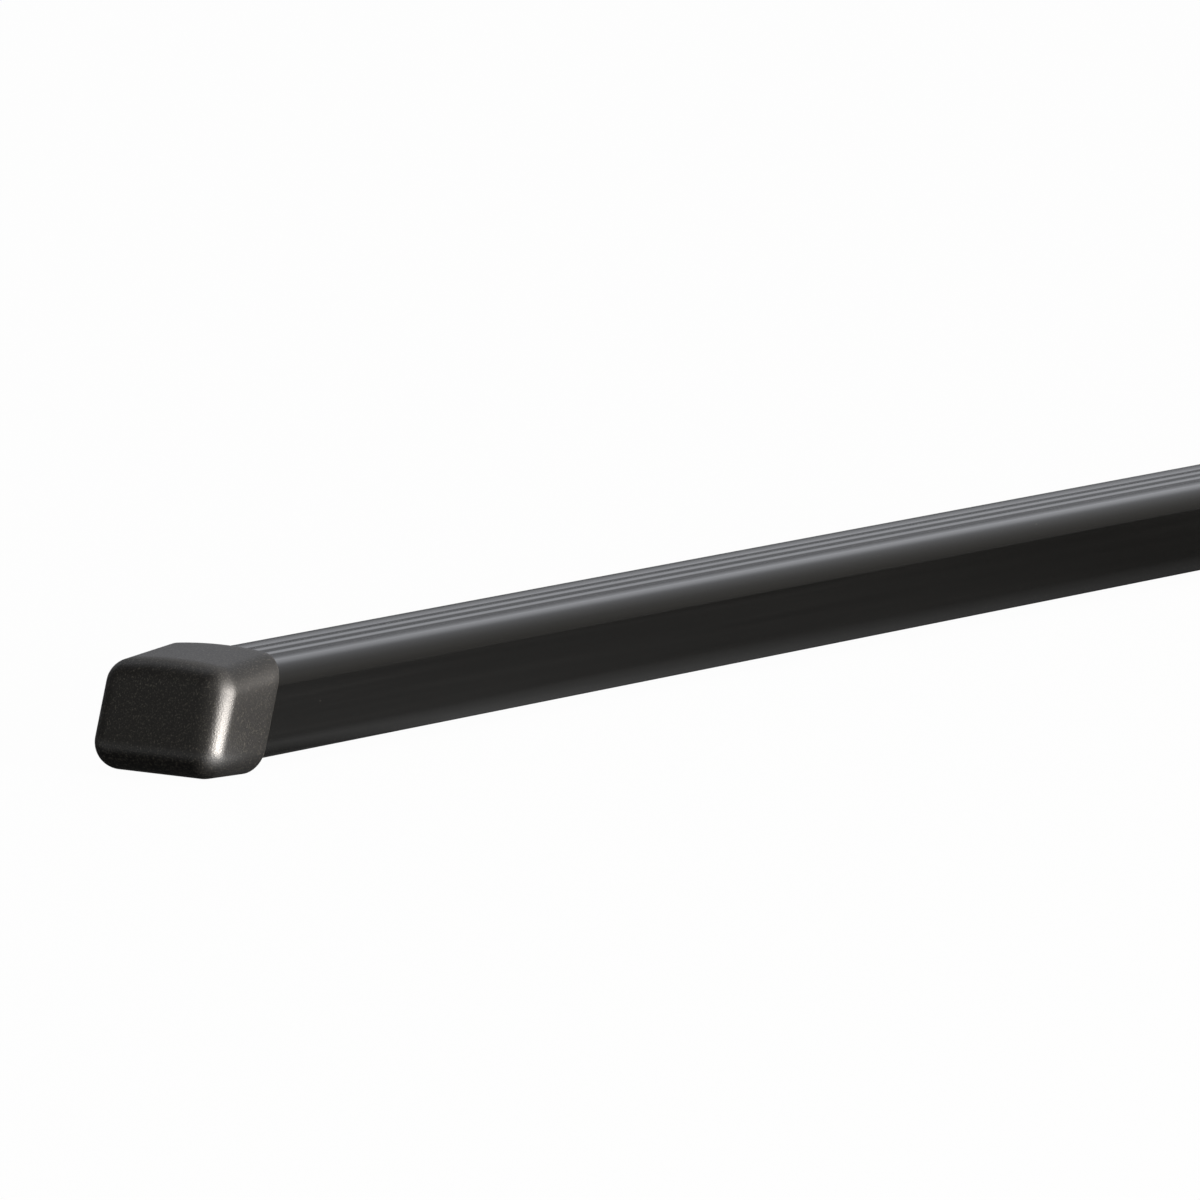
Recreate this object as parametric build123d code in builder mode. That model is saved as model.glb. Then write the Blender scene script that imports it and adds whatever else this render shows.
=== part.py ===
# Roof rack crossbar: a ribbed plastic sheath on a rectangular steel tube, closed by a raked cap at each end.
# Millimetres. +X runs along the bar and +Z is up. The origin is on the ground below the middle of the bar.

import os
from math import cos, radians, sqrt, tan

from build123d import *
from build123d.topology import SkipClean

# Steel tube
bar_length = 1180.0         # tube and sheath, sawn to length together
tube_width = 30.0           # outside, across the bar
tube_height = 20.0          # outside
tube_wall = 2.0
tube_corner = 4.5           # outside corner radius

# Plastic sheath
sheath_wall = 1.0
rib_count = 2               # full ribs between the two shoulders of the top
rib_pitch = 5.4             # from one groove to the next
rib_radius = 15.0           # crown of each rib
rib_rise = 0.12             # crests of the ribs above those of the shoulders
groove_width = 1.8          # at the edges of the ribs
groove_floor = 0.6          # flat width at the bottom of a groove
groove_depth = 0.38         # below the edges of the ribs
shoulder_crest = 8.6        # from the middle of the bar to the crest of each shoulder
shoulder_radius = 23.0      # the gentle arc from the last groove to the bar's corner

# End cap, outside
cap_rake = 18.5             # lean of the face and the rim, in degrees, with the top nearer mid bar
cap_length = 21.3           # from the rim to the face, along the bar
cap_round = 6.3             # radius of the long edges and of the edge round the face
rim_break = 0.4             # bevel on the outer edge of the rim
top_crown = 1.3             # rise of the top from its sides to its middle
top_draft = 5.0             # the cap gets lower towards its face, in degrees
bottom_draft = 2.1
skirt_side = 2.1            # skirt thickness at the rim
skirt_top = 3.2
skirt_bottom = 2.2

# End cap, inside
skirt_clearance = 0.2       # between the skirt and the sheath
skirt_reach = 12.0          # length of bar inside the skirt, at the bar's axis
stop_ledge = 2.2            # width of the ledge that the ends of the sheath and the tube bear on
face_wall = 3.2
plug_reach = 18.0           # length of plug inside the tube
plug_wall = 1.6
plug_clearance = 0.4        # between the plug and the tube's bore
plug_lead_in = 0.8          # bevel round the tip of the plug
crush_rib_width = 1.2
crush_rib_spacing = 12.0    # between the two crush ribs on each wide side of the plug

# Sizes that follow from those above
bar_width = tube_width + 2 * sheath_wall
bar_height = tube_height + 2 * sheath_wall
bar_corner = tube_corner + sheath_wall
bore_width = tube_width - 2 * tube_wall
bore_height = tube_height - 2 * tube_wall
bore_corner = tube_corner - tube_wall
rim_side = bar_width / 2 + skirt_clearance + skirt_side
rim_top = bar_height / 2 + skirt_clearance + skirt_top
rim_bottom = bar_height / 2 + skirt_clearance + skirt_bottom
axis_z = rim_bottom         # the cap's rims stand on the ground
stop_x = -bar_length / 2    # the left end of the bar
rim_x = stop_x + skirt_reach
face_x = rim_x - cap_length
lean = cos(radians(cap_rake))
slope = tan(radians(cap_rake))


def across(x):
    # Plane square across the bar, seen from the right end
    return Plane(origin=(x, 0, axis_z), x_dir=(0, 1, 0), z_dir=(1, 0, 0))


def raked(x):
    # Plane that leans with the left cap and crosses the bar's axis at x, facing out of that end
    return Plane(origin=(x, 0, axis_z), x_dir=(0, -1, 0), z_dir=(-1, 0, slope))


# Steel tube
with BuildPart() as steel_tube:
    with BuildSketch(across(stop_x)):
        RectangleRounded(tube_width, tube_height, tube_corner)
        RectangleRounded(bore_width, bore_height, bore_corner, mode=Mode.SUBTRACT)
    extrude(amount=bar_length)
steel_tube.part.label = "steel_tube"


# Plastic sheath
def sheath_section(x):
    # Rounded rectangle, close round the tube, with crowned ribs and sloping grooves along its top
    side = bar_width / 2
    top = bar_height / 2
    half_rib = (rib_pitch - groove_width) / 2
    rib_edge_z = top + rib_rise - rib_radius + sqrt(rib_radius**2 - half_rib**2)
    groove_z = rib_edge_z - groove_depth
    last_groove = rib_count * rib_pitch / 2
    shoulder_y = last_groove + groove_width / 2
    shoulder_z = top - shoulder_radius + sqrt(shoulder_radius**2 - (shoulder_crest - shoulder_y) ** 2)
    side_z = top - shoulder_radius + sqrt(shoulder_radius**2 - (side - shoulder_crest) ** 2)
    with BuildSketch(across(x)) as section:
        with BuildLine():
            Polyline((-side, side_z), (-side, -top), (side, -top), (side, side_z))
            ThreePointArc((side, side_z), (shoulder_crest, top), (shoulder_y, shoulder_z))
            for rib in range(rib_count + 1):
                groove = last_groove - rib * rib_pitch
                Polyline(
                    (groove + groove_width / 2, shoulder_z if rib == 0 else rib_edge_z),
                    (groove + groove_floor / 2, groove_z),
                    (groove - groove_floor / 2, groove_z),
                    (groove - groove_width / 2, shoulder_z if rib == rib_count else rib_edge_z),
                )
                if rib < rib_count:
                    crest = groove - rib_pitch / 2
                    ThreePointArc(
                        (crest + half_rib, rib_edge_z),
                        (crest, top + rib_rise),
                        (crest - half_rib, rib_edge_z),
                    )
            ThreePointArc((-shoulder_y, shoulder_z), (-shoulder_crest, top), (-side, side_z))
        make_face()
        outer_corners = section.vertices().group_by(Axis.X)
        fillet(outer_corners[0] + outer_corners[-1], bar_corner)
        RectangleRounded(tube_width, tube_height, tube_corner, mode=Mode.SUBTRACT)
    return section.sketch


# The sheath is drawn in three lengths with their seams kept, so that the bare underside is a face of its own
bare_start = rim_x - slope * bar_height / 2
with BuildPart() as sheath:
    with SkipClean():
        for start, end in ((stop_x, bare_start), (bare_start, -bare_start), (-bare_start, -stop_x)):
            extrude(sheath_section(start), amount=end - start)
sheath.part.label = "sheath"


# Plug of the end cap: a hollow rectangle with crush ribs that grip the tube's bore
plug_width = bore_width - 2 * plug_clearance
plug_height = bore_height - 2 * plug_clearance
plug_corner = bore_corner - plug_clearance
plug_tip = stop_x + plug_reach
plug_length = plug_tip - face_x + slope * bore_height / 2
with BuildPart() as plug:
    with BuildSketch(across(plug_tip)):
        outline = Rectangle(plug_width, plug_height)
        chamfer(outline.vertices(), plug_corner)
    extrude(amount=-plug_length)
    chamfer(plug.faces().sort_by(Axis.X)[-1].edges(), plug_lead_in)
    with BuildSketch(across(plug_tip - 2 * plug_lead_in)):
        Rectangle(bore_width, crush_rib_width)
        with GridLocations(crush_rib_spacing, 0, 2, 1):
            Rectangle(crush_rib_width, bore_height)
    extrude(amount=2 * plug_lead_in - plug_length)
    with BuildSketch(across(plug_tip)):
        Rectangle(plug_width - 2 * plug_wall, plug_height - 2 * plug_wall)
    extrude(amount=-plug_length, mode=Mode.SUBTRACT)
    split(bisect_by=raked(face_x + face_wall / lean / 2), keep=Keep.BOTTOM)


# Hollow of the end cap behind the ledge, with a floor that follows the leaning face
with BuildPart() as hollow:
    with BuildSketch(across(stop_x)):
        mouth = Rectangle(bar_width - 2 * stop_ledge, bar_height - 2 * stop_ledge)
        chamfer(mouth.vertices(), bar_corner - stop_ledge)
    extrude(amount=-cap_length)
    split(bisect_by=raked(face_x + face_wall / lean), keep=Keep.BOTTOM)


# End cap: a raked, drafted shell whose skirt covers the end of the sheath
rim_crest = (rim_x + slope * rim_top, 0, axis_z + rim_top)
rim_foot = (rim_x - slope * rim_bottom, 0, axis_z - rim_bottom)
top_slope = Plane(origin=rim_crest, x_dir=(0, -1, 0), z_dir=(-1, 0, -tan(radians(top_draft))))
underside = Plane(origin=rim_foot, x_dir=(0, 1, 0), z_dir=(tan(radians(bottom_draft)), 0, 1))
cap_depth = 2 * (rim_top + rim_bottom)
with BuildPart() as end_cap_left:
    # A crowned section runs along the slope of the top, trimmed by the rim, the face and the underside
    with BuildSketch(top_slope):
        with BuildLine():
            Polyline(
                (-rim_side, -top_crown),
                (-rim_side, -cap_depth),
                (rim_side, -cap_depth),
                (rim_side, -top_crown),
            )
            ThreePointArc((rim_side, -top_crown), (0, 0), (-rim_side, -top_crown))
        make_face()
    extrude(amount=2 * cap_length)
    split(bisect_by=raked(rim_x), keep=Keep.TOP)
    split(bisect_by=raked(face_x), keep=Keep.BOTTOM)
    split(bisect_by=underside, keep=Keep.TOP)
    rim = end_cap_left.faces().sort_by(Axis.X)[-1]
    fillet(end_cap_left.edges() - rim.edges(), cap_round)
    chamfer(end_cap_left.faces().sort_by(Axis.X)[-1].edges(), rim_break)

    # Socket for the bar, down to the ledge
    with BuildSketch(across(stop_x)):
        RectangleRounded(
            bar_width + 2 * skirt_clearance,
            bar_height + 2 * skirt_clearance,
            bar_corner + skirt_clearance,
        )
    extrude(amount=skirt_reach + slope * bar_height, mode=Mode.SUBTRACT)
    add(hollow.part, mode=Mode.SUBTRACT)
    add(plug.part)
end_cap_left.part.label = "end_cap_left"

# The right cap is the same moulding turned half a turn
with BuildPart() as end_cap_right:
    with Locations(Rotation(0, 0, 180)):
        add(end_cap_left.part)
end_cap_right.part.label = "end_cap_right"

os.makedirs("parts", exist_ok=True)
for piece in (steel_tube, sheath, end_cap_left, end_cap_right):
    export_step(piece.part, f"parts/{piece.part.label}.step")
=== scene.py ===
# Roof rack crossbar: a black ribbed sheath on a steel tube, with a raked moulded cap on each end.
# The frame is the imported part's: metres, +X along the bar, +Z up. The shapes of the pieces are
# worked out in millimetres, and ringMesh turns them to metres.
import math

import bpy
import numpy as np
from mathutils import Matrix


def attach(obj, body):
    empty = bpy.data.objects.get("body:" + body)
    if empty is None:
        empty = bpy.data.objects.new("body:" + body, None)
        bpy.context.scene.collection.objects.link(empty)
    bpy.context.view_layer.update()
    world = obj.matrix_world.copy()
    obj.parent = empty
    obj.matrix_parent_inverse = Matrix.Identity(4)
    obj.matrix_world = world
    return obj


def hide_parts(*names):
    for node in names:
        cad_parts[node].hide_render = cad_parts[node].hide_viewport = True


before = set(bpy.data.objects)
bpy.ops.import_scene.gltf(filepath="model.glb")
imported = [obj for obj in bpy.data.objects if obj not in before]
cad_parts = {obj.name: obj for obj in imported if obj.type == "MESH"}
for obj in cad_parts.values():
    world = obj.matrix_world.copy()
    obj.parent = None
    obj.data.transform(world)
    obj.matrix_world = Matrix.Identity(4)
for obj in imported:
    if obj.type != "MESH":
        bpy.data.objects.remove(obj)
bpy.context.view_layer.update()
print("frame loaded:", ", ".join(sorted(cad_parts)))

axisHeight = 13.4         # millimetres from the ground to the bar's axis
barHalf = 590.0           # half the bar's length
sharpAngle = 34.0         # degrees: a steeper fold is drawn as an edge
noiseSpan = (0.3, 0.7)    # nearly all of a noise texture lies between these
plainWhite = "#ffffff"


def hexToLinear(code):  # sRGB hex to linear RGBA, by the standard's power law with a straight foot
    srgb = np.array([int(code[i:i + 2], 16) for i in (1, 3, 5)]) / 255
    linear = np.where(srgb <= 0.04045, srgb / 12.92, ((srgb + 0.055) / 1.055) ** 2.4)
    return (*linear.tolist(), 1.0)


def addNode(tree, kind, sockets=None, **settings):
    # One node with its settings, then its values and links. A node as a value gives its first output.
    node = tree.nodes.new(kind)
    for name, value in settings.items():
        setattr(node, name, value)
    for socket, value in (sockets or {}).items():
        if isinstance(value, bpy.types.Node):
            value = value.outputs[0]
        if isinstance(value, bpy.types.NodeSocket):
            tree.links.new(value, node.inputs[socket])
        else:
            node.inputs[socket].default_value = value
    return node


def newMaterial(name):  # an empty node tree with its output and the object's own coordinates
    material = bpy.data.materials.new(name)
    material.use_nodes = True
    tree = material.node_tree
    tree.nodes.clear()
    output = addNode(tree, "ShaderNodeOutputMaterial")
    coordinates = addNode(tree, "ShaderNodeTexCoord").outputs["Object"]
    return material, tree, output.inputs["Surface"], coordinates


def ringMesh(name, rings, poles=None):
    # Vertex (i, j) is point j of ring i. Quads join each ring to the next one and each point to
    # its neighbour. With two poles a fan closes each end. Without them the last ring joins the first.
    rings = np.asarray(rings)
    ringCount, pointCount = rings.shape[:2]
    vertices = rings.reshape(-1, 3)
    spans = np.arange(ringCount if poles is None else ringCount - 1)[:, None]
    here = np.arange(pointCount)
    after = (here + 1) % pointCount
    low, high = spans * pointCount, (spans + 1) % ringCount * pointCount
    quads = np.stack([low + here, low + after, high + after, high + here], -1)
    faces = quads.reshape(-1, 4).tolist()
    if poles is not None:
        first, last = len(vertices), len(vertices) + 1
        top = (ringCount - 1) * pointCount
        vertices = np.concatenate([vertices, poles])
        faces += np.stack([np.full(pointCount, first), after, here], -1).tolist()
        faces += np.stack([top + here, top + after, np.full(pointCount, last)], -1).tolist()
    mesh = bpy.data.meshes.new(name)
    mesh.from_pydata((vertices / 1000).tolist(), [], faces)
    mesh.shade_smooth()
    mesh.set_sharp_from_angle(angle=math.radians(sharpAngle))
    piece = bpy.data.objects.new(name, mesh)
    bpy.context.scene.collection.objects.link(piece)
    print(name, "has", len(mesh.polygons), "faces")
    return piece


def onUnit(vector):  # the same direction with length 1
    return vector / np.linalg.norm(vector, axis=-1, keepdims=True)


def turnNormals(start, end, share):  # great-circle turn from one unit vector to another
    angle = np.arccos(np.clip((start * end).sum(-1, keepdims=True), -1, 1))
    return (np.sin((1 - share) * angle) * start + np.sin(share * angle) * end) / np.sin(angle)


# Sheath
sheathShape = {
    "width": 32.0,
    "top": 11.1,             # crests of the shoulders above the bar's axis
    "bottom": 11.0,          # underside below it
    "corner": 5.5,
    "tubeWidth": 30.0,
    "tubeHeight": 20.0,
    "tubeCorner": 4.5,
    "ribPitch": 5.4,
    "ribRadius": 11.0,
    "ribRise": 0.12,         # crests of the two ribs above those of the shoulders
    "grooveWidth": 1.7,
    "grooveFloor": 0.5,
    "grooveDepth": 0.36,
    "shoulderCrest": 8.9,    # from the middle of the bar
    "shoulderRadius": 36.0,
    "edgeSoftness": 0.03,    # the edges of the grooves are drawn out this much
    "stations": 41,          # sections along the bar
    "landPoints": 13,        # on each land, wall and floor of the top
    "cornerPoints": 13,
    "flatPoints": 12,        # on each side and on the underside
}


def sheathRings(shape):
    # The top is the smooth minimum of crowned lands and groove walls:
    # -s log(exp(-land / s) + exp(-wall / s)). A land is an arc, and a wall rises straight from
    # a groove's flat floor until it meets the land. The rest is a rounded rectangle.
    # The outline is carried along the bar outside and back along the tube inside.
    side, top, corner = shape["width"] / 2, shape["top"], shape["corner"]
    pitch, ribRadius, soft = shape["ribPitch"], shape["ribRadius"], shape["edgeSoftness"]
    crest, shoulder = shape["shoulderCrest"], shape["shoulderRadius"]
    halfGroove, halfFloor = shape["grooveWidth"] / 2, shape["grooveFloor"] / 2
    centreY = side - corner
    centreZ = top - shoulder + math.sqrt((shoulder - corner) ** 2 - (centreY - crest) ** 2)
    meet = math.atan2(centreZ - top + shoulder, centreY - crest)  # of the corner and the shoulder
    edgeY = centreY + corner * math.cos(meet)

    def arc(y, middle, height, radius):
        return height - radius + np.sqrt(np.maximum(radius ** 2 - (y - middle) ** 2, 0))

    marks = np.array([
        halfFloor, halfGroove, pitch - halfGroove,
        pitch - halfFloor, pitch + halfFloor, pitch + halfGroove,
    ])
    stops = np.concatenate([[edgeY], marks[::-1], -marks, [-edgeY]])
    ease = (1 - np.cos(np.linspace(0, np.pi, shape["landPoints"]))) / 2  # points gather at both ends
    topY = (stops[:-1, None] + np.diff(stops)[:, None] * ease[1:]).ravel()[:-1]
    away = np.abs(topY)
    ribTop = top + shape["ribRise"]
    land = np.where(
        away < pitch, arc(away, pitch / 2, ribTop, ribRadius), arc(away, crest, top, shoulder),
    )
    grooveZ = arc(pitch / 2 - halfGroove, 0, ribTop, ribRadius) - shape["grooveDepth"]
    steep = shape["grooveDepth"] / (halfGroove - halfFloor)
    fromGroove = np.minimum(away, np.abs(away - pitch))
    wall = grooveZ + steep * soft * np.logaddexp(0, (fromGroove - halfFloor) / soft)
    topZ = -soft * np.logaddexp(-land / soft, -wall / soft)

    turn = np.linspace(0, 1, shape["cornerPoints"])
    inside = np.linspace(0, 1, shape["flatPoints"])[1:-1]

    def outline(halfWidth, halfHeight, radius, upperZ, meet, topY, topZ):
        rise, fall = turn * meet, np.pi / 2 * turn
        y, z = halfWidth - radius, halfHeight - radius
        sideZ = -z + (upperZ + z) * inside
        return np.concatenate([
            np.c_[np.full(inside.size, halfWidth), sideZ],
            np.c_[y + radius * np.cos(rise), upperZ + radius * np.sin(rise)],
            np.c_[topY, topZ],
            np.c_[-y - radius * np.cos(rise[::-1]), upperZ + radius * np.sin(rise[::-1])],
            np.c_[np.full(inside.size, -halfWidth), sideZ[::-1]],
            np.c_[-y - radius * np.cos(fall), -z - radius * np.sin(fall)],
            np.c_[y * (2 * inside - 1), np.full(inside.size, -halfHeight)],
            np.c_[y + radius * np.sin(fall), -z - radius * np.cos(fall)],
        ])

    outer = outline(side, shape["bottom"], corner, centreZ, meet, topY, topZ)
    tubeSide, tubeTop = shape["tubeWidth"] / 2, shape["tubeHeight"] / 2
    tubeCorner = shape["tubeCorner"]
    flatY = topY * (tubeSide - tubeCorner) / edgeY
    flatZ = np.full(flatY.size, tubeTop)
    inner = outline(tubeSide, tubeTop, tubeCorner, tubeTop - tubeCorner, np.pi / 2, flatY, flatZ)

    def carry(section, stations):  # one section at every station along the bar
        rings = np.empty((stations.size, len(section), 3))
        rings[..., 0] = stations[:, None]
        rings[..., 1:] = section + (0, axisHeight)
        return rings

    x = np.linspace(-barHalf, barHalf, shape["stations"])
    return np.concatenate([carry(outer, x), carry(inner, x[::-1])])


sheath = ringMesh("barSheath", sheathRings(sheathShape))

# End caps
capShape = {
    "rake": 18.5,           # lean of the face and the rim, in degrees
    "length": 21.3,
    "skirtReach": 12.0,     # length of bar inside the skirt
    "halfWidth": 18.3,
    "top": 14.4,            # rim above the bar's axis
    "bottom": 13.4,         # rim below it
    "topDraft": 5.0,        # degrees
    "bottomDraft": 2.1,
    "crown": 1.3,
    "edgeRound": 6.3,       # long edges
    "faceRound": 6.1,       # edge round the face
    "rimRound": 0.4,
    "mouth": (16.2, 11.3, 5.7),         # half width, half height and corner of the bar's socket
    "hollow": (13.8, 8.8, 3.3),         # behind the ledge
    "plug": (12.6, 7.6, 2.1),
    "plugBore": (11.0, 6.0, 0.05),      # a hairline corner keeps its points apart
    "faceWall": 3.2,
    "plugTip": 6.0,                     # beyond the rim, inside the tube
    "leadIn": 0.8,
    "crushRib": 0.4,                    # height of the ribs that grip the tube's bore
    "crushRibHalf": (0.55, 0.65),       # half their width, at the crest and at the foot
    "crushRibSpacing": 12.0,
    "crushRibEnd": 0.2,                 # slope at their tip
    "edgePoints": 17,                   # round each long edge
    "sidePoints": 14,                   # up each side
    "widthPoints": 28,                  # across the top and the underside
    "faceShares": (0.25, 0.5, 0.75, 0.95),    # rings on the face, from its middle to its edge
    "faceRings": 19,                    # round the face's edge
    "skirtRings": 10,
    "rimRings": 7,
}


def capRings(shape):
    # Outside: a ball rolls round a core. A point is core + ball * normal, where the normal turns on
    # a great circle from the outline's own to the face's, then the surface runs straight along the
    # draft to the rim and turns again.
    # Inside: one outline after another, down the socket, over the ledge, up and down the plug.
    half, radius, crown = shape["halfWidth"], shape["edgeRound"], shape["crown"]
    rake = math.radians(shape["rake"])
    slope, lean = math.tan(rake), math.cos(rake)
    faceNormal = np.array([-lean, 0, slope * lean])
    topAngle, bottomAngle = math.radians(shape["topDraft"]), math.radians(shape["bottomDraft"])
    acrossBar = np.array([0.0, 1.0, 0.0])
    topUp = np.array([-math.sin(topAngle), 0, math.cos(topAngle)])
    topAlong = np.array([math.cos(topAngle), 0, math.sin(topAngle)])
    bottomUp = np.array([math.sin(bottomAngle), 0, math.cos(bottomAngle)])
    bottomAlong = np.array([math.cos(bottomAngle), 0, -math.sin(bottomAngle)])

    # Shares of the way round an edge, up a side and across, with points at the crush ribs' flanks
    turn = np.linspace(0, 1, shape["edgePoints"])
    ribCrest, ribFoot = shape["crushRibHalf"]
    flank = np.array([-ribFoot, -ribCrest, ribCrest, ribFoot])
    plugY, plugZ, plugCut = shape["plug"]
    ribY = shape["crushRibSpacing"] / 2
    sideFlanks = 0.5 + flank / (2 * (plugZ - plugCut))
    topFlanks = 0.5 + np.concatenate([flank - ribY, flank + ribY]) / (2 * (plugY - plugCut))
    upSide = np.linspace(0, 1, shape["sidePoints"])[1:-1]
    overTop = np.linspace(0, 1, shape["widthPoints"])[1:-1]
    rise = np.unique(np.concatenate([upSide, sideFlanks]))[:, None]
    sweep = np.unique(np.concatenate([overTop, topFlanks]))[:, None]

    # Outline of the outside, as lines with a base point, a normal and a direction
    crownRadius = (half ** 2 + crown ** 2) / (2 * crown)
    crownLean = math.asin((half - radius) / (crownRadius - radius))
    cornerZ = math.sqrt((crownRadius - radius) ** 2 - (half - radius) ** 2) - crownRadius
    rightTurn = turn * (math.pi / 2 - crownLean)
    arch = math.pi / 2 + crownLean * (2 * sweep[:, 0] - 1)
    upper = np.concatenate([rightTurn, arch, np.pi - rightTurn[::-1]])[:, None]
    onArch = np.r_[np.zeros(turn.size), np.ones(arch.size), np.zeros(turn.size)][:, None]
    bend = np.where(onArch, crownRadius, radius)
    upperY = np.cos(upper) * bend + (1 - onArch) * np.sign(np.cos(upper)) * (half - radius)
    upperZ = np.sin(upper) * bend + np.where(onArch, -crownRadius, cornerZ)
    crest = np.array([slope * shape["top"], 0, shape["top"]])
    upperBase = crest + upperY * acrossBar + upperZ * topUp
    upperNormal = np.cos(upper) * acrossBar + np.sin(upper) * topUp

    fall = (np.pi + np.pi / 2 * turn)[:, None]
    lower = np.concatenate([fall, np.full_like(sweep, 1.5 * np.pi), fall + np.pi / 2])
    lowerCentre = np.concatenate([0 * fall, sweep, 0 * fall + 1]) * 2 - 1
    foot = np.array([-slope * shape["bottom"], 0, -shape["bottom"]])
    lowerBase = foot + (lowerCentre * (half - radius) + radius * np.cos(lower)) * acrossBar
    lowerBase = lowerBase + (radius + radius * np.sin(lower)) * bottomUp
    lowerNormal = np.cos(lower) * acrossBar + np.sin(lower) * bottomUp

    sideAlong = onUnit(bottomAlong + (topAlong - bottomAlong) * rise)
    flat = np.ones_like(rise)
    base = np.concatenate([
        lowerBase[-1] + (upperBase[0] - lowerBase[-1]) * rise,
        upperBase,
        upperBase[-1] + (lowerBase[0] - upperBase[-1]) * rise,
        lowerBase,
    ])
    normal = np.concatenate([flat * acrossBar, upperNormal, -flat * acrossBar, lowerNormal])
    along = np.concatenate([
        sideAlong,
        np.ones_like(upper) * topAlong,
        sideAlong[::-1],
        np.ones_like(lower) * bottomAlong,
    ])

    def slideTo(points, depth, up):  # each point moves along its line to that depth in a direction
        return points + ((depth - points @ up) / (along @ up))[:, None] * along

    def between(start, end, shares):  # rings at these shares of the way from one ring to another
        return [start + (end - start) * share for share in shares]

    def rolled(core, ball, end, shares):  # rings of a ball whose normal turns towards the end
        return [core + ball * turnNormals(normal, end, share) for share in shares]

    ball, rimBall = shape["faceRound"], shape["rimRound"]
    faceCore = slideTo(base - ball * normal, shape["length"] * lean - ball, faceNormal)
    rimCore = slideTo(base - rimBall * normal, -rimBall, -faceNormal)
    faceEdge = faceCore + ball * faceNormal
    facePole = (faceEdge.min(0) + faceEdge.max(0)) / 2 * (1, 0, 1)
    skirtStart, skirtEnd = faceCore + ball * normal, rimCore + rimBall * normal
    rings = between(facePole, faceEdge, shape["faceShares"])
    rings += rolled(faceCore, ball, faceNormal, np.linspace(1, 0, shape["faceRings"]))
    rings += between(skirtStart, skirtEnd, np.linspace(0, 1, shape["skirtRings"])[1:])
    rings += rolled(rimCore, rimBall, -faceNormal, np.linspace(0, 1, shape["rimRings"])[1:])

    def section(halfWidth, halfHeight, corner, cut=False):
        # Rounded or bevelled rectangle, counted as the outline is
        angle = np.pi / 2 * turn
        bend = np.c_[1 - turn, turn] if cut else np.c_[np.cos(angle), np.sin(angle)]
        y, z = halfWidth - corner, halfHeight - corner
        up, over = 2 * rise[:, 0] - 1, 2 * sweep[:, 0] - 1
        side, top = np.full(up.size, halfWidth), np.full(over.size, halfHeight)
        return np.concatenate([
            np.c_[side, z * up],
            (y, z) + corner * bend,
            np.c_[-y * over, top],
            (-y, z) + corner * bend[::-1] * (-1, 1),
            np.c_[-side, -z * up],
            (-y, -z) - corner * bend,
            np.c_[y * over, -top],
            (y, -z) + corner * bend[::-1] * (1, -1),
        ])

    def standing(points, x):  # square across the bar at x
        return np.c_[np.full(len(points), x), points]

    def leaning(points, x):  # on a plane that leans with the cap
        return np.c_[x + slope * points[:, 1], points]

    mouth, bore = section(*shape["mouth"]), section(*shape["plugBore"])
    hollow, plug = section(*shape["hollow"], cut=True), section(*shape["plug"], cut=True)
    leadIn, tip = shape["leadIn"], shape["plugTip"]
    narrowed = section(plugY - leadIn, plugZ - leadIn, plugCut, cut=True)
    ledge, floor = -shape["skirtReach"], -shape["length"] + shape["faceWall"] / lean
    ribHalf, slack = (ribCrest + ribFoot) / 2, 0.01
    offY, offZ = np.abs(plug).T
    onSide = (offY > plugY - slack) & (offZ < ribHalf)
    onTop = (offZ > plugZ - slack) & (np.abs(offY - ribY) < ribHalf)
    ribbed = plug + shape["crushRib"] * np.sign(plug) * np.c_[onSide, onTop]
    ribTip = tip - 2 * leadIn
    halves = (0.5, 1.0)
    rings += between(rings[-1], leaning(mouth, 0), halves)
    rings += between(leaning(mouth, 0), standing(mouth, ledge), halves)
    rings += [standing(hollow, ledge), leaning(hollow, floor), leaning(ribbed, floor)]
    rings += [standing(ribbed, ribTip - shape["crushRibEnd"]), standing(plug, ribTip)]
    rings += [standing(plug, tip - leadIn), standing(narrowed, tip), standing(bore, tip)]
    rings += [leaning(bore, floor), leaning(bore / 2, floor)]
    return np.array(rings), np.array([facePole, (floor, 0, 0)])


rings, poles = capRings(capShape)
rimPlace = np.array([capShape["skirtReach"] - barHalf, 0, axisHeight])  # middle of the left rim
leftCap = ringMesh("leftEndCap", rings + rimPlace, poles + rimPlace)
halfTurn = np.array([-1, -1, 1])  # the right cap is the same moulding turned half a turn
rightCap = ringMesh("rightEndCap", (rings + rimPlace) * halfTurn, (poles + rimPlace) * halfTurn)

# Sheath plastic
sheathFinish = {
    "colours": ("#0d0d0c", "#121211"),    # from streak to streak
    "roughness": (0.13, 0.20),            # least and most, from streak to streak
    "ior": 1.53,
    "streakWidth": 1.6,          # millimetres across the bar
    "streakLength": 140.0,       # millimetres along it
    "streakDepth": 0.002,        # millimetres
    "streakDetail": 3.0,
    "waveWidth": 9.0,
    "waveLength": 70.0,
    "waveDepth": 0.006,
    "waveDetail": 1.0,
    "dust": "#8f8c84",
    "dustSpacing": 11.0,         # millimetres from speck to speck
    "dustSize": 0.32,            # millimetres
    "dustEdge": (1.4, 0.6),      # shares of half the size, between which a speck fades in
    "dustKept": (0.45, 0.65),    # by a random number each, about half of the specks are left out
}


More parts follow.
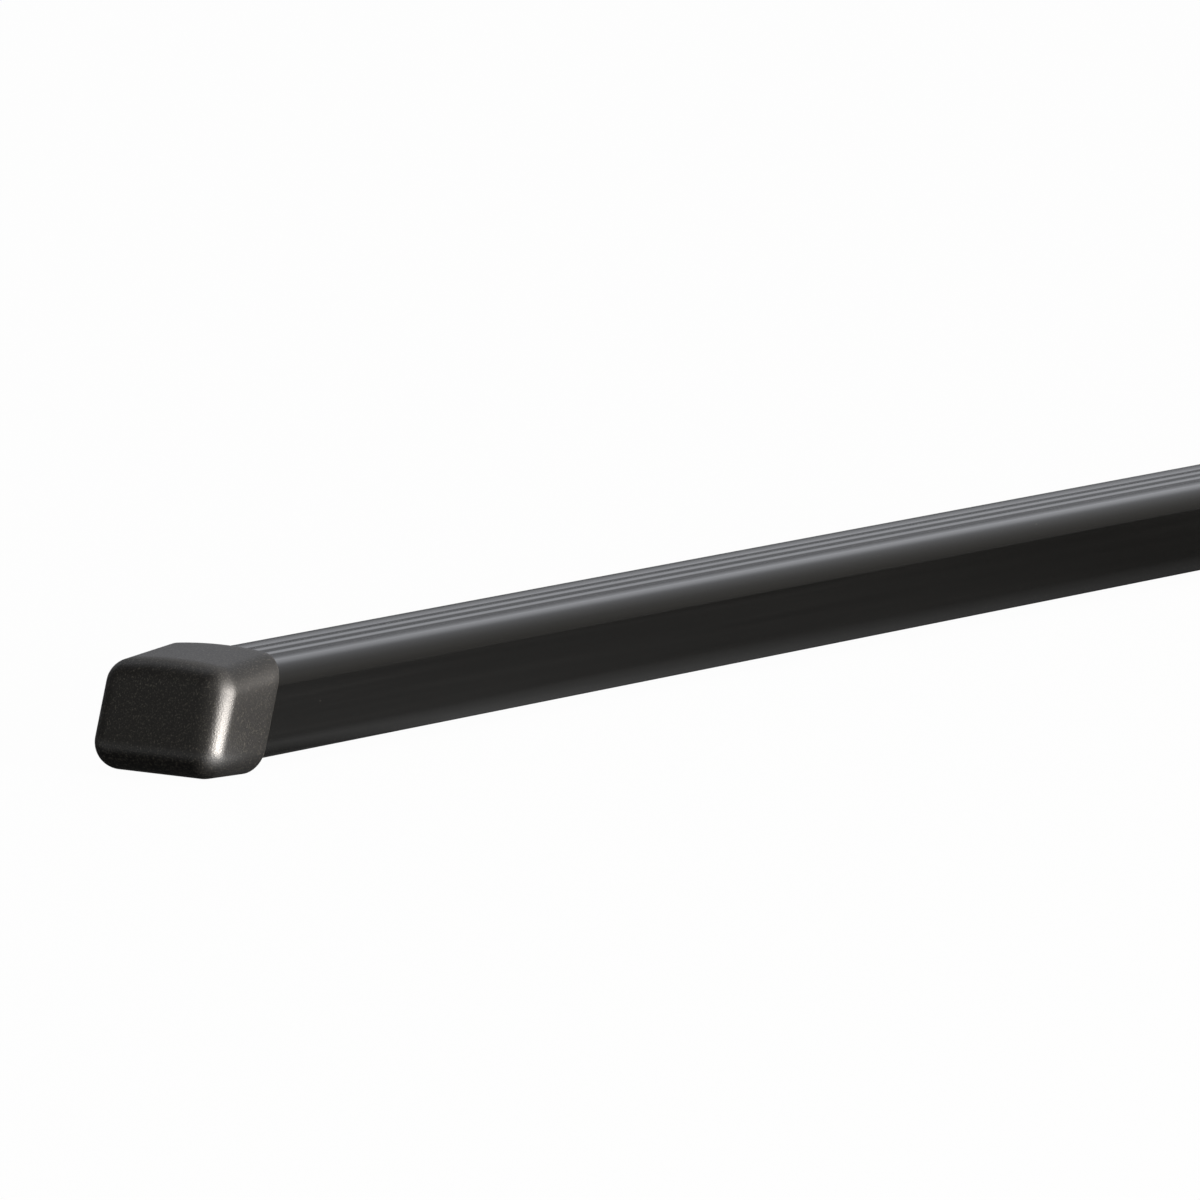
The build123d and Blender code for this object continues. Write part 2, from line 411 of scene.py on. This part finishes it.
def extrudedPvc(finish):
    # PVC drawn through a die: a smooth satin gloss, with streaks and faint lines that run the length
    # of the bar and a slow unevenness that softens the edges of what it mirrors. A few specks of
    # dust lie on it.
    material, tree, surface, coordinates = newMaterial("extrudedPvcBlack")
    noises, bump = {}, None
    for name in ("wave", "streak"):
        across, lengthwise = 1000 / finish[name + "Width"], 1000 / finish[name + "Length"]
        stretched = addNode(tree, "ShaderNodeMapping", {
            "Vector": coordinates, "Scale": (lengthwise, across, across),
        })
        noises[name] = addNode(tree, "ShaderNodeTexNoise", {
            "Vector": stretched, "Scale": 1.0, "Detail": finish[name + "Detail"],
        })
        below = {"Normal": bump} if bump else {}  # the streaks' bump lies on the waves'
        bump = addNode(tree, "ShaderNodeBump", {
            "Height": noises[name], "Strength": 1.0, "Distance": finish[name + "Depth"] / 1000,
            **below,
        })
    streak = noises["streak"]
    roughness = addNode(tree, "ShaderNodeMapRange", {
        "Value": streak, "From Min": noiseSpan[0], "From Max": noiseSpan[1],
        "To Min": finish["roughness"][0], "To Max": finish["roughness"][1],
    })
    tint = addNode(tree, "ShaderNodeMix", {
        0: streak, 6: hexToLinear(finish["colours"][0]), 7: hexToLinear(finish["colours"][1]),
    }, data_type="RGBA")
    speck = addNode(tree, "ShaderNodeTexVoronoi", {
        "Vector": coordinates, "Scale": 1000 / finish["dustSpacing"],
    })
    reach = finish["dustSize"] / 2 / finish["dustSpacing"]
    near = addNode(tree, "ShaderNodeMapRange", {
        "Value": speck,
        "From Min": finish["dustEdge"][0] * reach, "From Max": finish["dustEdge"][1] * reach,
    })
    kept = addNode(tree, "ShaderNodeMapRange", {
        "Value": speck.outputs["Color"],
        "From Min": finish["dustKept"][0], "From Max": finish["dustKept"][1],
    })
    dusty = addNode(tree, "ShaderNodeMath", {0: near, 1: kept}, operation="MULTIPLY")
    tint = addNode(tree, "ShaderNodeMix", {
        0: dusty, 6: tint.outputs[2], 7: hexToLinear(finish["dust"]),
    }, data_type="RGBA")
    shader = addNode(tree, "ShaderNodeBsdfPrincipled", {
        "Base Color": tint.outputs[2], "Roughness": roughness, "IOR": finish["ior"], "Normal": bump,
    })
    tree.links.new(shader.outputs[0], surface)
    return material


# Cap plastic
capFinish = {
    "colours": ("#100f0e", "#504e48"),    # of the grain's valleys and of the palest of its tips
    "roughness": (0.31, 0.37),            # least on the tips and most in the valleys
    "ior": 1.47,
    "grain": 0.45,                   # millimetres between tips: drawn coarser than it is, to show
    "grainDepth": 0.065,             # millimetres
    "grainDetail": 2.0,
    "grainRoughness": 0.65,
    "fleckSpan": (0.53, 0.74),       # of the grain's noise, where a tip begins to pale and is palest
    "weathering": 0.18,              # added to the roughness by a power of the height, so on top
    "weatherPower": 4.0,
    "weatherHeights": (6.0, 26.0),   # millimetres above the ground, where it is none and all
    "scuffing": (0.11, 0.21),        # added along the face's rounded edge, at its foot and its top
    "scuffStart": (6.0, 4.2),        # millimetres behind the face, where it sets in
    "scuffEnd": (2.8, 1.2),          # and where it fades out
    "rimHighlightWidth": 0.6,                  # millimetres of the rim's edge painted paler: a painted highlight where the edge catches light
    "rimHighlightPaleness": 0.5,
}


def grainedAbs(finish):
    # ABS moulded against spark-eroded steel: a fine even grain that scatters highlights into sparks.
    # Weather leaves the upper side duller than the foot, and knocks have scuffed the rounded edge.
    material, tree, surface, coordinates = newMaterial("grainedAbsBlack")
    grain = addNode(tree, "ShaderNodeTexNoise", {
        "Vector": coordinates, "Scale": 1000 / finish["grain"],
        "Detail": finish["grainDetail"], "Roughness": finish["grainRoughness"],
    })
    bump = addNode(tree, "ShaderNodeBump", {
        "Height": grain, "Strength": 1.0, "Distance": finish["grainDepth"] / 1000,
    })
    place = addNode(tree, "ShaderNodeSeparateXYZ", {0: coordinates}).outputs
    # Both rims lie where |x| + z tan(rake) keeps one value, and it grows towards the face
    lean = math.tan(math.radians(capShape["rake"]))
    rim = (barHalf - capShape["skirtReach"] + axisHeight * lean) / 1000
    face = rim + capShape["length"] / 1000
    outward = addNode(tree, "ShaderNodeMath", {0: place["X"]}, operation="ABSOLUTE")
    outward = addNode(tree, "ShaderNodeMath", {
        0: place["Z"], 1: lean, 2: outward,
    }, operation="MULTIPLY_ADD")

    roughness = addNode(tree, "ShaderNodeMapRange", {
        "Value": grain, "From Min": noiseSpan[0], "From Max": noiseSpan[1],
        "To Min": finish["roughness"][1], "To Max": finish["roughness"][0],
    })
    lowest, highest = (height / 1000 for height in finish["weatherHeights"])
    height = addNode(tree, "ShaderNodeMapRange", {
        "Value": place["Z"], "From Min": lowest, "From Max": highest,
    })
    worn = addNode(tree, "ShaderNodeMath", {0: height, 1: finish["weatherPower"]}, operation="POWER")
    roughness = addNode(tree, "ShaderNodeMath", {
        0: worn, 1: finish["weathering"], 2: roughness,
    }, operation="MULTIPLY_ADD")
    scuff = addNode(tree, "ShaderNodeMapRange", {
        "Value": height, "To Min": finish["scuffing"][0], "To Max": finish["scuffing"][1],
    })
    start, full = (face - depth / 1000 for depth in finish["scuffStart"])
    rounded = addNode(tree, "ShaderNodeMapRange", {
        "Value": outward, "From Min": start, "From Max": full, "To Max": scuff,
    })
    fade, end = (face - depth / 1000 for depth in finish["scuffEnd"])
    beforeFace = addNode(tree, "ShaderNodeMapRange", {
        "Value": outward, "From Min": fade, "From Max": end, "To Min": 1.0, "To Max": 0.0,
    })
    roughness = addNode(tree, "ShaderNodeMath", {
        0: rounded, 1: beforeFace, 2: roughness,
    }, operation="MULTIPLY_ADD")

    fleck = addNode(tree, "ShaderNodeMapRange", {
        "Value": grain, "From Min": finish["fleckSpan"][0], "From Max": finish["fleckSpan"][1],
    })
    # Painted highlight: a thin pale line painted along the rim's edge, where it catches light
    paintedRimHighlight = addNode(tree, "ShaderNodeMapRange", {
        "Value": outward, "From Min": rim + finish["rimHighlightWidth"] / 1000, "From Max": rim,
        "To Max": finish["rimHighlightPaleness"],
    })
    pale = addNode(tree, "ShaderNodeMath", {0: fleck, 1: paintedRimHighlight}, operation="ADD", use_clamp=True)
    tint = addNode(tree, "ShaderNodeMix", {
        0: pale, 6: hexToLinear(finish["colours"][0]), 7: hexToLinear(finish["colours"][1]),
    }, data_type="RGBA")
    shader = addNode(tree, "ShaderNodeBsdfPrincipled", {
        "Base Color": tint.outputs[2], "Roughness": roughness, "IOR": finish["ior"], "Normal": bump,
    })
    tree.links.new(shader.outputs[0], surface)
    return material


# Tube steel
tubeFinish = {
    "colours": ("#bfc0c2", "#a9abae"),    # from crystal to crystal
    "roughness": (0.28, 0.42),
    "spangle": 3.0,                       # millimetres across a zinc crystal
}


def zincCoatedSteel(finish):
    # Cold-rolled steel with a zinc coat: grey metal whose crystals each take the light a little
    # differently.
    material, tree, surface, coordinates = newMaterial("zincCoatedSteel")
    spangle = addNode(tree, "ShaderNodeTexVoronoi", {
        "Vector": coordinates, "Scale": 1000 / finish["spangle"],
    }).outputs["Color"]
    roughness = addNode(tree, "ShaderNodeMapRange", {
        "Value": spangle, "To Min": finish["roughness"][0], "To Max": finish["roughness"][1],
    })
    tint = addNode(tree, "ShaderNodeMix", {
        0: spangle, 6: hexToLinear(finish["colours"][0]), 7: hexToLinear(finish["colours"][1]),
    }, data_type="RGBA")
    shader = addNode(tree, "ShaderNodeBsdfPrincipled", {
        "Base Color": tint.outputs[2], "Metallic": 1.0, "Roughness": roughness,
    })
    tree.links.new(shader.outputs[0], surface)
    return material


sheath.data.materials.append(extrudedPvc(sheathFinish))
capPlastic = grainedAbs(capFinish)
leftCap.data.materials.append(capPlastic)
rightCap.data.materials.append(capPlastic)
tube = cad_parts["steel_tube"]
tube.data.materials.clear()
tube.data.materials.append(zincCoatedSteel(tubeFinish))

for piece, node, slot in (
    (sheath, "sheath", "sheath_plastic"),
    (leftCap, "end_cap_left", "cap_plastic"),
    (rightCap, "end_cap_right", "cap_plastic"),
):
    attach(piece, "root")
    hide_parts(node)
print("pieces dressed")


# Studio, in metres
def plane(name, corners, height):  # a level rectangle between two corners, facing up
    (left, front), (right, back) = corners
    mesh = bpy.data.meshes.new(name)
    mesh.from_pydata([
        (left, front, height), (right, front, height), (right, back, height), (left, back, height),
    ], [], [(0, 1, 2, 3)])
    surface = bpy.data.objects.new(name, mesh)
    bpy.context.scene.collection.objects.link(surface)
    return surface


floorLook = {
    "corners": ((-40.0, -40.0), (40.0, 40.0)),
    "colour": "#e7e7e5",
    "white": 0.975,    # share of plain white that the camera and reflections see on the floor
}


def paleFloorPaint(look):
    # Matt paint that takes the bar's shadow, and that looks nearly plain white
    material, tree, surface, coordinates = newMaterial("paleFloorPaint")
    path = addNode(tree, "ShaderNodeLightPath").outputs
    seen = path["Is Camera Ray"]
    for ray in ("Is Glossy Ray", "Is Transmission Ray"):
        seen = addNode(tree, "ShaderNodeMath", {0: seen, 1: path[ray]}, operation="ADD")
    share = addNode(tree, "ShaderNodeMath", {
        0: seen, 1: look["white"],
    }, operation="MULTIPLY", use_clamp=True)
    matt = addNode(tree, "ShaderNodeBsdfDiffuse", {"Color": hexToLinear(look["colour"])})
    white = addNode(tree, "ShaderNodeEmission", {"Color": hexToLinear(plainWhite), "Strength": 1.0})
    mixed = addNode(tree, "ShaderNodeMixShader", {0: share, 1: matt, 2: white})
    tree.links.new(mixed.outputs[0], surface)
    return material


floor = plane("floor", floorLook["corners"], 0.0)
floor.data.materials.append(paleFloorPaint(floorLook))

# A dark sheet round the bar glows for reflections only: a painted reflection, with painted
# shade under the bar. The bar keeps its depth of tone on a white floor. A bright patch on it, in
# front of the cap's near corner, is a painted highlight that draws the glare on the cap's edge
# down to the foot.
sheetLook = {
    "corners": ((-1.6, -1.4), (1.8, 1.6)),
    "height": 0.0001,                 # just above the floor
    "levels": (0.03, 0.152),          # radiance under the bar, and close in front of it
    "levelFade": 0.0075,              # from the one to the other
    "shade": ((-0.565, -0.0138), (-0.50, -0.0085)),    # x, and the y where the dark under the bar ends
    "further": ((-0.021, 1.0), (-0.036, 0.62)),        # y, and the share of the level further in front
    "rightward": ((-0.54, 2.15), (-0.14, 0.66)),       # x, and the share along the bar
    "past": ((-0.606, 0.35), (-0.59, 1.0)),            # x, and the share below the face
    "beyond": ((-0.608, 0.0), (-0.628, 0.66)),         # x, and the radiance added past the end
    "patch": 9.0,                     # radiance added in the bright patch
    "patchPlace": (-0.599, -0.052, 0.0),
    "patchReach": (0.036, 0.010),     # from its place, where it begins and where it is full
}


def paintedReflectionGlow(look):
    # Painted reflection, seen only in reflections: a glow by its place, with painted shade under
    # the bar, paler in front, palest by the cap
    material, tree, surface, coordinates = newMaterial("paintedReflectionGlow")
    place = addNode(tree, "ShaderNodeSeparateXYZ", {0: coordinates}).outputs
    ramps = {}
    for name, axis in (
        ("shade", "X"), ("further", "Y"), ("rightward", "X"), ("past", "X"), ("beyond", "X"),
    ):
        (startPlace, startLevel), (endPlace, endLevel) = look[name]
        ramps[name] = addNode(tree, "ShaderNodeMapRange", {
            "Value": place[axis], "From Min": startPlace, "From Max": endPlace,
            "To Min": startLevel, "To Max": endLevel,
        })
    clear = addNode(tree, "ShaderNodeMath", {0: ramps["shade"], 1: place["Y"]}, operation="SUBTRACT")
    level = addNode(tree, "ShaderNodeMapRange", {
        "Value": clear, "From Min": 0.0, "From Max": look["levelFade"],
        "To Min": look["levels"][0], "To Max": look["levels"][1],
    })
    for name in ("further", "rightward"):
        level = addNode(tree, "ShaderNodeMath", {0: level, 1: ramps[name]}, operation="MULTIPLY")
    level = addNode(tree, "ShaderNodeMath", {
        0: level, 1: ramps["past"], 2: ramps["beyond"],
    }, operation="MULTIPLY_ADD")
    away = addNode(tree, "ShaderNodeVectorMath", {
        0: coordinates, 1: look["patchPlace"],
    }, operation="DISTANCE").outputs["Value"]
    patch = addNode(tree, "ShaderNodeMapRange", {
        "Value": away, "From Min": look["patchReach"][0], "From Max": look["patchReach"][1],
        "To Max": look["patch"],
    }, interpolation_type="SMOOTHSTEP")
    level = addNode(tree, "ShaderNodeMath", {0: level, 1: patch}, operation="ADD")
    glow = addNode(tree, "ShaderNodeEmission", {"Color": hexToLinear(plainWhite), "Strength": level})
    tree.links.new(glow.outputs[0], surface)
    return material


sheet = plane("darkSheet", sheetLook["corners"], sheetLook["height"])
sheet.visible_camera = sheet.visible_diffuse = False
sheet.visible_transmission = sheet.visible_shadow = False
sheet.data.materials.append(paintedReflectionGlow(sheetLook))

# Sky: an arch of light over the bar towards its right end, a fainter light past its left end and
# a dark gap between the two. Fades are by the x, y or z of a direction.
skyLook = {
    "gap": 0.05,                  # radiance
    "left": 0.31,
    "leftFade": (-0.62, -0.40),   # x, from the left to the gap
    "archFade": (0.12, 0.40),     # x, from the gap to the arch
    "top": 0.85,                  # added to the gap overhead and in front
    "topFade": (0.40, 0.80),      # z
    "frontFade": (0.05, -0.30),   # y
    "arch": (                     # degrees round the bar, from behind over the top, and radiance
        (0, 0.09), (7, 0.13), (10, 0.175), (13, 0.265), (16, 0.42),
        (19, 0.68), (22, 0.85), (26, 0.95), (36, 0.98), (44, 1.12),
        (53, 1.20), (63, 1.11), (73, 0.88), (83, 0.77), (93, 0.74),
        (113, 0.63), (133, 0.495), (153, 0.395), (173, 0.285), (180, 0.21),
    ),
    "colours": ("#fffcf6", "#f7f9ff"),    # in front and to the left, and behind
    "behindFade": (0.90, 0.40),   # share of the arch, from the one colour to the other
    "rightFade": (-0.3, 0.3),     # x, likewise
}


def softRoom(look):
    world = bpy.data.worlds.new("softRoom")
    world.use_nodes = True
    tree = world.node_tree
    tree.nodes.clear()
    direction = addNode(tree, "ShaderNodeTexCoord").outputs["Generated"]
    parts = addNode(tree, "ShaderNodeSeparateXYZ", {0: direction}).outputs
    angle = addNode(tree, "ShaderNodeMath", {0: parts["Z"], 1: parts["Y"]}, operation="ARCTAN2")
    turned = addNode(tree, "ShaderNodeMath", {
        0: angle, 1: math.pi,
    }, operation="DIVIDE", use_clamp=True)
    fades = {}
    for name, value, most, interpolation in (
        ("topFade", parts["Z"], look["top"], "SMOOTHSTEP"),
        ("frontFade", parts["Y"], 1.0, "SMOOTHSTEP"),
        ("behindFade", turned, 1.0, "LINEAR"),
        ("rightFade", parts["X"], 1.0, "LINEAR"),
    ):
        fades[name] = addNode(tree, "ShaderNodeMapRange", {
            "Value": value, "From Min": look[name][0], "From Max": look[name][1], "To Max": most,
        }, interpolation_type=interpolation)
    arch = addNode(tree, "ShaderNodeValToRGB", {0: turned})
    peak = max(level for degrees, level in look["arch"])
    stops = arch.color_ramp.elements
    for number, (degrees, level) in enumerate(look["arch"]):
        stop = stops[number] if number < len(stops) else stops.new(1.0)
        stop.position = degrees / 180
        stop.color = (level / peak, level / peak, level / peak, 1)
    arched = addNode(tree, "ShaderNodeMath", {0: arch, 1: peak}, operation="MULTIPLY")
    dark = addNode(tree, "ShaderNodeMapRange", {
        "Value": parts["X"], "From Min": look["leftFade"][0], "From Max": look["leftFade"][1],
        "To Min": look["left"], "To Max": look["gap"],
    }, interpolation_type="SMOOTHSTEP")
    dark = addNode(tree, "ShaderNodeMath", {
        0: fades["topFade"], 1: fades["frontFade"], 2: dark,
    }, operation="MULTIPLY_ADD")
    level = addNode(tree, "ShaderNodeMapRange", {
        "Value": parts["X"], "From Min": look["archFade"][0], "From Max": look["archFade"][1],
        "To Min": dark, "To Max": arched,
    }, interpolation_type="SMOOTHSTEP")
    cool = addNode(tree, "ShaderNodeMath", {
        0: fades["behindFade"], 1: fades["rightFade"],
    }, operation="MULTIPLY")
    colour = addNode(tree, "ShaderNodeMix", {
        0: cool, 6: hexToLinear(look["colours"][0]), 7: hexToLinear(look["colours"][1]),
    }, data_type="RGBA")
    sky = addNode(tree, "ShaderNodeBackground", {"Color": colour.outputs[2], "Strength": level})
    addNode(tree, "ShaderNodeOutputWorld", {"Surface": sky})
    return world


bpy.context.scene.world = softRoom(skyLook)

# Two lamps at one place in front. The second shows in reflections only: it gives the cap's edge
# its glare and adds no light to any colour.
frontLamps = {
    "powers": {"frontSoftLight": 30.0, "frontGlint": 204.0},    # watts
    "colour": "#fff8f1",
    "size": (0.36, 0.66),
    "direction": (0.06, -0.98, 0.18),    # from the left end of the bar
    "distance": 1.8,
}
target = np.array([-barHalf, 0.0, axisHeight]) / 1000
lampPlace = target + frontLamps["distance"] * onUnit(np.array(frontLamps["direction"]))
x, y, z = target - lampPlace
for name, power in frontLamps["powers"].items():
    lamp = bpy.data.lights.new(name, "AREA")
    lamp.shape = "ELLIPSE"
    lamp.size, lamp.size_y = frontLamps["size"]
    lamp.energy = power
    lamp.color = hexToLinear(frontLamps["colour"])[:3]
    light = bpy.data.objects.new(name, lamp)
    light.location = lampPlace
    light.rotation_euler = (math.acos(-z / math.hypot(x, y, z)), 0, math.atan2(-x, y))
    light.visible_camera = False
    light.visible_diffuse = name == "frontSoftLight"
    bpy.context.scene.collection.objects.link(light)

# Camera: a long lens, a little above the bar and well round towards its left end
cameraView = {
    "sensor": 36.0,       # millimetres
    "lens": 345.954,
    "clipEnd": 200.0,
    "place": (-2.61673, -1.62457, 0.40942),
    "down": 8.103,        # degrees below the horizon
    "turn": 36.59,        # heading, in degrees from +X towards +Y
}
lens = bpy.data.cameras.new("longLens")
lens.sensor_width = cameraView["sensor"]
lens.lens = cameraView["lens"]
lens.clip_end = cameraView["clipEnd"]
camera = bpy.data.objects.new("longLens", lens)
camera.location = cameraView["place"]
camera.rotation_euler = (
    math.radians(90 - cameraView["down"]), 0, math.radians(cameraView["turn"] - 90),
)
bpy.context.scene.collection.objects.link(camera)
bpy.context.scene.camera = camera
bpy.context.scene.view_settings.view_transform = "Standard"
print("studio set")
